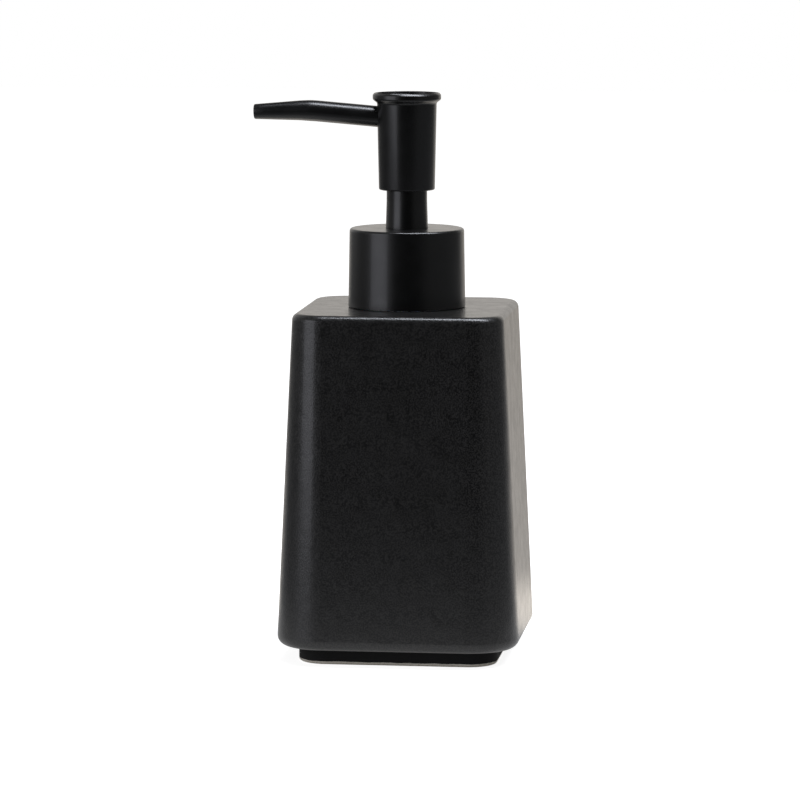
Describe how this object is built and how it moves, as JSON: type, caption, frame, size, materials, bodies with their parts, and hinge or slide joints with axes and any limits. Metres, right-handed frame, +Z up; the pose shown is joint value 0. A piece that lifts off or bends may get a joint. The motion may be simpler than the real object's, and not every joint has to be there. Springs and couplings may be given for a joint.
{
  "type": "soap pump dispenser",
  "caption": "Squared ceramic soap bottle on a stepped foot, with a screw-on lotion pump: press the head and soap leaves the long bent nozzle.",
  "frame": {"origin": "middle of the foot's flat underside, below the pump's axis", "axes": "+Z up along the pump, the nozzle points along -X at rest, and the front of the bottle faces -Y"},
  "size_m": [0.08, 0.07, 0.163],
  "materials": {
    "glazed_stoneware": "matte black glaze",
    "black_coated_shell": "satin black",
    "black_moulded_plastic": "satin",
    "natural_polypropylene": "translucent white",
    "natural_polyethylene": "translucent",
    "soft_seal": "matte",
    "spring_steel": "drawn wire",
    "glass_ball": "polished"
  },
  "bodies": {
    "bottle": {"bottle": "glazed_stoneware", "neck_insert": "natural_polypropylene"},
    "pump_core": {"neck_gasket": "soft_seal", "housing": "natural_polypropylene", "dip_tube": "natural_polyethylene", "ball_cage": "natural_polypropylene", "chaplet": "natural_polypropylene", "neck_sleeve": "black_coated_shell"},
    "collar": {"collar_shell": "black_coated_shell", "collar_cap": "black_moulded_plastic"},
    "inlet_ball": {"inlet_ball": "glass_ball"},
    "return_spring": {"return_spring": "spring_steel"},
    "piston": {"piston_seal": "natural_polyethylene"},
    "plunger": {"shaft": "natural_polypropylene", "valve_pin": "natural_polypropylene", "head_core": "black_moulded_plastic", "head_shell": "black_coated_shell", "nozzle": "black_coated_shell"}
  },
  "joints": [
    {"name": "pump_rise", "type": "slide", "parent": "bottle", "child": "pump_core", "axis": [0, 0, 1], "range_m": [0, 0.00953]},
    {"name": "collar_turn", "type": "hinge", "parent": "pump_core", "child": "collar", "pos_m": [0, 0, 0.11], "axis": [0, 0, 1], "range_deg": [0, 819]},
    {"name": "ball_lift", "type": "slide", "parent": "pump_core", "child": "inlet_ball", "axis": [0, 0, 1], "range_m": [0, 0.0012]},
    {"name": "pump_press", "type": "slide", "parent": "pump_core", "child": "return_spring", "axis": [0, 0, -1], "range_m": [0, 0.0108], "stiffness_N_per_m": 400, "springref_m": -0.006, "deforming": ["return_spring"]},
    {"name": "piston_slip", "type": "slide", "parent": "return_spring", "child": "piston", "axis": [0, 0, 1], "range_m": [0, 0.0008]},
    {"name": "head_swivel", "type": "hinge", "parent": "return_spring", "child": "plunger", "pos_m": [0, 0, 0.14], "axis": [0, 0, 1], "continuous": true}
  ],
  "couplings": [
    {"joint": "collar_turn", "follows": "pump_rise", "rad_per_m": 1484.2}
  ]
}
